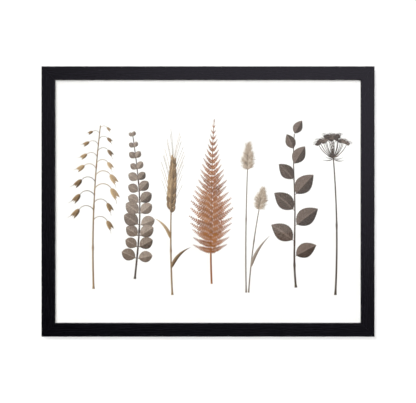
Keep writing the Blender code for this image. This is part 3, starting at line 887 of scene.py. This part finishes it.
def hornbeamTwig():
    # Hornbeam: toothed, ribbed leaves on one side and then the other
    look = {
        "stem": {"foot": (143, -140), "length": 250, "lean": -6, "bend": 11, "widths": (3.4, 1.2),
                 "sway": 4, "knots": 7},
        "leaf": {"length": 48, "width": 27, "belly": 0.44, "rows": 34, "stalk": 0.1, "fullness": 0.85,
                 "bend": 14, "teeth": 17, "tip": 0.35},
        "leaves": 9}
    leaves = leafPair("hornbeam_leaves", look["leaf"])
    line, twig = growStem("umber_stems", look["stem"])
    head = sprig(line, leaves, "hornbeam_leaves", {
        "Count": look["leaves"], "First": 0.2, "Last": 0.995, "Base angle": 54, "Tip angle": 16,
        "Angle jitter": 5, "Base size": 0.8, "Peak": 0.3, "Tip size": 0.55, "Tone jitter": 0.1,
        "Lift": 0.05, "Lift spread": 0.1, "Seed": 61})
    return together("printed_hornbeam", [twig, head], leaves)


def wildCarrot():
    # Wild carrot: rays that end in small heads of seeds, above a collar of bracts
    look = {
        "stem": {"foot": (207, -152), "length": 226, "lean": 3, "bend": -8, "widths": (3.2, 1.8), "knots": 2},
        "ray": {"length": 34, "bend": -46, "widths": (1.2, 0.8), "steps": 12, "lift": 0},
        "seed": {"length": 4.8, "width": 2.3, "belly": 0.5, "rows": 5, "fullness": 0.7},
        "stalklet": {"length": 8.5, "width": 0.45, "belly": 0.5, "rows": 3, "tip": 0.2},
        "bract": {"length": 17, "width": 1.5, "belly": 0.3, "rows": 8, "bend": -60, "tip": 0.2},
        "rays": 19}
    seeds = leafPair("umbel_seeds", look["seed"])
    stalks = leafPair("umber_stems", look["stalklet"])
    rays = []
    for side in (1, -1):
        line, ray = growStem("umber_stems", look["ray"], side)
        stalklets = sprig(line, stalks, "umber_stems", {
            "Count": 14, "First": 0.97, "Base angle": 78, "Tip angle": 6, "Seed": 71})
        fruits = sprig(line, seeds, "umbel_seeds", {
            "Count": 26, "First": 0.9, "Base angle": 84, "Tip angle": 0, "Angle jitter": 22,
            "Size jitter": 0.3, "Tone jitter": 0.3, "Lift": 0.02, "Lift spread": 0.03, "Seed": 72})
        rays.append(together("umbel_ray", [ray, stalklets, fruits]))
    bracts = leafPair("umber_stems", look["bract"])
    line, stalk = growStem("umber_stems", look["stem"])
    crown = sprig(line, rays, "umbel_seeds", {
        "Count": look["rays"], "First": 0.985, "Base angle": 68, "Tip angle": 2, "Angle jitter": 4,
        "Peak": 0.4, "Tip size": 0.9, "Size jitter": 0.12, "Lift": 0.05, "Lift spread": 0.08, "Seed": 73})
    collar = sprig(line, bracts, "umber_stems", {
        "Count": 8, "First": 0.98, "Base angle": 128, "Tip angle": 84, "Lift": 0.04, "Seed": 74})
    return together("printed_wild_carrot", [stalk, crown, collar], [*seeds, *stalks, *rays, *bracts])


# Up to here the design lies round the origin: it is set on the sheet, and rides with the frame
for grow in (oatPanicle, gumSprig, wheatEar, fernFrond, hareTails, hornbeamTwig, wildCarrot):
    drawn = grow()
    for vert in drawn.data.vertices:
        vert.co += Vector((middle.x, paperFace - inkLayer["clear"] * mm, middle.z))
    drawn.data.update()
    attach(drawn, "frame")
    print(drawn.name, "has", sum(len(face.vertices) - 2 for face in drawn.data.polygons), "triangles")


# Studio: a pale wall that the frame hangs on, a pale floor below it, and soft light

studio = {
    "wallDepth": 0.6,  # gap between the bumpers and the wall, mm
    "reach": 3.0, "floorLevel": -1.5,  # metres
    "wallWhite": "#f2f2f2",
    "wallGlow": 0.05,  # keeps the narrow gap behind the frame a neutral grey
    "floorGlow": 0.8,
    "ambient": 0.05,
    "sideWalls": 0.4,  # what gloss sees of the room's pale sides
    "darkUpTo": -0.95, "paleFrom": -0.3,  # and from where, as the Y of its direction
    "cameraDistance": 3.0, "farClip": 50,  # metres
    "imageWidth": 0.6739,  # what the picture takes in at the frame's front, metres
    "sensor": 36,  # mm
}


def oneSidedPaper(name, brightness):
    # Matte white background paper, seen from the front alone, so that the rear views look past it.
    # The lamps behind it reach what is seen from there, but not the gap behind the frame
    made, tree = newMaterial(name)
    white = addNode(tree, "ShaderNodeBsdfDiffuse", {"Color": linear(studio["wallWhite"])})
    glow = addNode(tree, "ShaderNodeEmission", {"Color": (1, 1, 1, 1), "Strength": brightness})
    front = addNode(tree, "ShaderNodeAddShader", {0: white, 1: glow})
    clear = addNode(tree, "ShaderNodeBsdfTransparent")
    ray = addNode(tree, "ShaderNodeLightPath").outputs
    direct = addNode(tree, "ShaderNodeMath", {0: ray["Diffuse Depth"], 1: 0.5}, operation="LESS_THAN")
    passing = addNode(tree, "ShaderNodeMath", {0: direct, 1: ray["Is Shadow Ray"]}, operation="MULTIPLY")
    side = addNode(tree, "ShaderNodeMath", {
        0: addNode(tree, "ShaderNodeNewGeometry").outputs["Backfacing"], 1: passing},
        operation="MAXIMUM")
    return finished(made, {0: side, 1: front, 2: clear}, "ShaderNodeMixShader")


def stageSheet(name, corners, finish):
    mesh = bpy.data.meshes.new(name)
    mesh.from_pydata(corners, [], [(0, 1, 2, 3)])
    mesh.materials.append(finish)
    sheet = addObject(name, mesh)
    sheet.visible_diffuse = False
    sheet.visible_glossy = False


wallPaper = oneSidedPaper("matte_background_paper_wall", studio["wallGlow"])
floorPaper = oneSidedPaper("matte_background_paper_floor", studio["floorGlow"])
reach, low, wallPlane = studio["reach"], studio["floorLevel"], cadHigh.y + studio["wallDepth"] * mm
stageSheet("wall", [(-reach, wallPlane, low), (reach, wallPlane, low),
                    (reach, wallPlane, reach), (-reach, wallPlane, reach)], wallPaper)
stageSheet("floor", [(-reach, -reach, low), (reach, -reach, low),
                     (reach, reach, low), (-reach, reach, low)], floorPaper)


centre = Vector((middle.x, frontFace, middle.z))
# Places and aims from the middle of the frame's front, in metres. A soft lamp lights what is
# matte, and a gloss lamp is only seen in what shines
lamps = {
    "front_fill": {"kind": "SUN", "place": (0, -3, 0), "energy": 2.4, "size": 12, "soft": True},
    "upper_left_key": {"kind": "SUN", "place": (-0.68, -3, 0.8), "energy": 1.19, "size": 9, "soft": True},
    # A wide softbox with a grid, turned down, whose sheen falls off to the lower left
    "right_sheen": {"kind": "AREA", "place": (0.69, -2.11, 1.03), "aim": (-0.14, 0, -0.24), "energy": 14.2,
                    "size": 2.59, "spread": 139, "soft": False},
    "top_sheen": {"kind": "AREA", "place": (-0.3, -0.5, 1.8), "energy": 6, "size": 1.2, "soft": False},
    "rear_key": {"kind": "AREA", "place": (0.9, 2.0, 1.1), "energy": 60, "size": 1.2, "soft": True},
    "rear_fill": {"kind": "AREA", "place": (-1.5, 1.6, 0.3), "energy": 25, "size": 1.2, "soft": True},
    # Behind the frame and inside its outline, so that its edges don't catch it
    "rear_sheen": {"kind": "AREA", "place": (0, 2.2, 0), "energy": 4.5, "size": 0.4, "soft": False},
}
for name, look in lamps.items():
    data = bpy.data.lights.new(name, look["kind"])
    data.energy = look["energy"]
    if look["kind"] == "SUN":
        data.angle = math.radians(look["size"])
    else:
        data.size = look["size"]
        data.spread = math.radians(look.get("spread", 180))
    lamp = addObject(name, data)
    lamp.location = centre + Vector(look["place"])
    towards = Vector(look.get("aim", (0, 0, 0))) - Vector(look["place"])
    lamp.rotation_euler = towards.to_track_quat("-Z", "Y").to_euler()
    lamp.visible_camera = False
    lamp.visible_diffuse = look["soft"]
    lamp.visible_glossy = not look["soft"]

world = bpy.data.worlds.new("studio")
bpy.context.scene.world = world
world.use_nodes = True
tree = world.node_tree
tree.nodes.clear()
ray = addNode(tree, "ShaderNodeLightPath").outputs
ambient = addNode(tree, "ShaderNodeMath", {
    0: ray["Is Diffuse Ray"], 1: studio["ambient"], 2: ray["Is Camera Ray"]}, operation="MULTIPLY_ADD")
# Gloss sees pale walls at the sides, above and behind, and the dark room in front
direction = addNode(tree, "ShaderNodeSeparateXYZ", {
    0: addNode(tree, "ShaderNodeTexCoord").outputs["Generated"]})
walls = addNode(tree, "ShaderNodeMapRange", {
    "Value": direction.outputs["Y"], "From Min": studio["darkUpTo"], "From Max": studio["paleFrom"],
    "To Max": studio["sideWalls"]}, interpolation_type="SMOOTHSTEP")
strength = addNode(tree, "ShaderNodeMath", {
    0: ray["Is Glossy Ray"], 1: walls, 2: ambient}, operation="MULTIPLY_ADD")
sky = addNode(tree, "ShaderNodeBackground", {"Color": (1, 1, 1, 1), "Strength": strength})
addNode(tree, "ShaderNodeOutputWorld", {"Surface": sky})

view = bpy.context.scene.view_settings
view.view_transform = "Standard"
view.look = "None"
view.exposure = 0.0
view.gamma = 1.0

cameraData = bpy.data.cameras.new("camera")
cameraData.sensor_width = studio["sensor"]
cameraData.lens = studio["sensor"] * studio["cameraDistance"] / studio["imageWidth"]
cameraData.clip_end = studio["farClip"]
camera = addObject("camera", cameraData)
camera.location = centre + Vector((0, -studio["cameraDistance"], 0))
camera.rotation_euler = (math.pi / 2, 0, 0)
bpy.context.scene.camera = camera
print("stage, lamps and camera are set")
